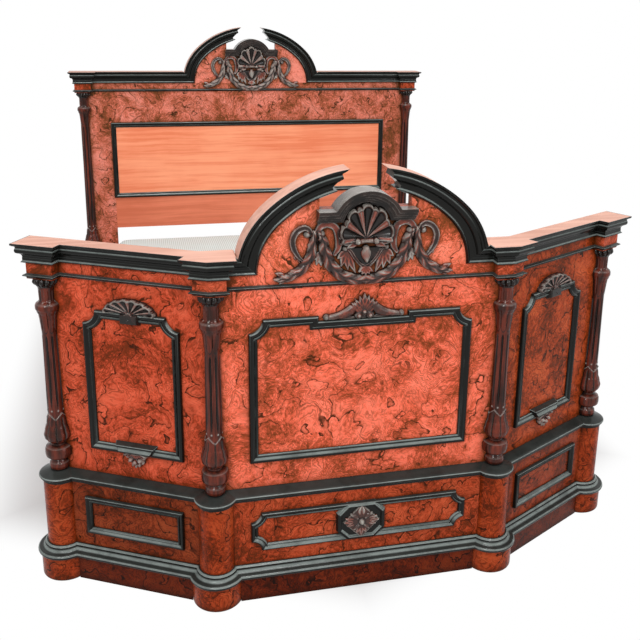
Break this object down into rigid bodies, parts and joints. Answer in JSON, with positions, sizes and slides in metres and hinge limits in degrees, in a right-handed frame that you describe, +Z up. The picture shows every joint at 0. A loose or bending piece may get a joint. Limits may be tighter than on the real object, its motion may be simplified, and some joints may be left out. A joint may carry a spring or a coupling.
{
  "type": "bed",
  "caption": "Burr walnut double bed with canted footboard, ebonised mouldings, carved columns, broken-arch crests at head and foot, and a ticking mattress on slats.",
  "frame": {"origin": "centre of the footprint, on the floor", "axes": "+Z up, +Y from the footboard to the headboard, +X to the right of a viewer who faces the footboard"},
  "size_m": [1.7004, 2.2679, 1.4099],
  "materials": {
    "burl_walnut": "french polish",
    "ebonised_wood": "satin black polish",
    "turned_mahogany": "french polish",
    "carved_walnut": "french polish",
    "plain_walnut": "french polish",
    "top_walnut": "french polish",
    "pine": "plain sawn",
    "iron": "dark oxide",
    "ticking": "woven"
  },
  "bodies": {
    "bedstead": {"bed_hooks": "iron", "foot_arch_left": "ebonised_wood", "foot_arch_right": "ebonised_wood", "foot_astragal": "ebonised_wood", "foot_base_moulding": "ebonised_wood", "foot_base_panel_centre": "burl_walnut", "foot_base_panel_left": "burl_walnut", "foot_base_panel_right": "burl_walnut", "foot_cappings": "top_walnut", "foot_centre_base_frame": "ebonised_wood", "foot_centre_cresting": "carved_walnut", "foot_centre_frame": "ebonised_wood", "foot_column_inner_left": "turned_mahogany", "foot_column_inner_right": "turned_mahogany", "foot_column_outer_left": "turned_mahogany", "foot_column_outer_right": "turned_mahogany", "foot_cornice_left": "ebonised_wood", "foot_cornice_right": "ebonised_wood", "foot_crest_hood": "carved_walnut", "foot_crest_scrolls": "carved_walnut", "foot_crest_shell": "carved_walnut", "foot_panel_centre": "burl_walnut", "foot_panel_left": "burl_walnut", "foot_panel_right": "burl_walnut", "foot_pedestal_inner_left": "burl_walnut", "foot_pedestal_inner_right": "burl_walnut", "foot_pedestal_outer_left": "burl_walnut", "foot_pedestal_outer_right": "burl_walnut", "foot_plinth": "burl_walnut", "foot_rail_posts": "pine", "foot_rosette": "carved_walnut", "foot_tympanum": "burl_walnut", "foot_waist_moulding": "ebonised_wood", "foot_wing_base_frames": "ebonised_wood", "foot_wing_drops": "carved_walnut", "foot_wing_frames": "ebonised_wood", "foot_wing_shells": "carved_walnut", "frieze_blocks": "burl_walnut", "head_arches": "ebonised_wood", "head_astragal": "ebonised_wood", "head_bottom_rail": "plain_walnut", "head_cappings": "top_walnut", "head_columns": "turned_mahogany", "head_cornices": "ebonised_wood", "head_crest_hood": "carved_walnut", "head_crest_scrolls": "carved_walnut", "head_crest_shell": "carved_walnut", "head_panel": "plain_walnut", "head_panel_frame": "ebonised_wood", "head_pedestals": "burl_walnut", "head_post_left": "burl_walnut", "head_post_right": "burl_walnut", "head_top_rail": "burl_walnut", "head_tympanum": "burl_walnut", "hook_pins": "iron", "ledgers": "pine", "side_rail_left": "plain_walnut", "side_rail_right": "plain_walnut", "slats": "pine"},
    "mattress": {"mattress": "ticking"}
  },
  "joints": [
    {"name": "mattress_lift", "type": "slide", "parent": "bedstead", "child": "mattress", "axis": [0, 0, 1], "range_m": [0, 0.3]}
  ]
}
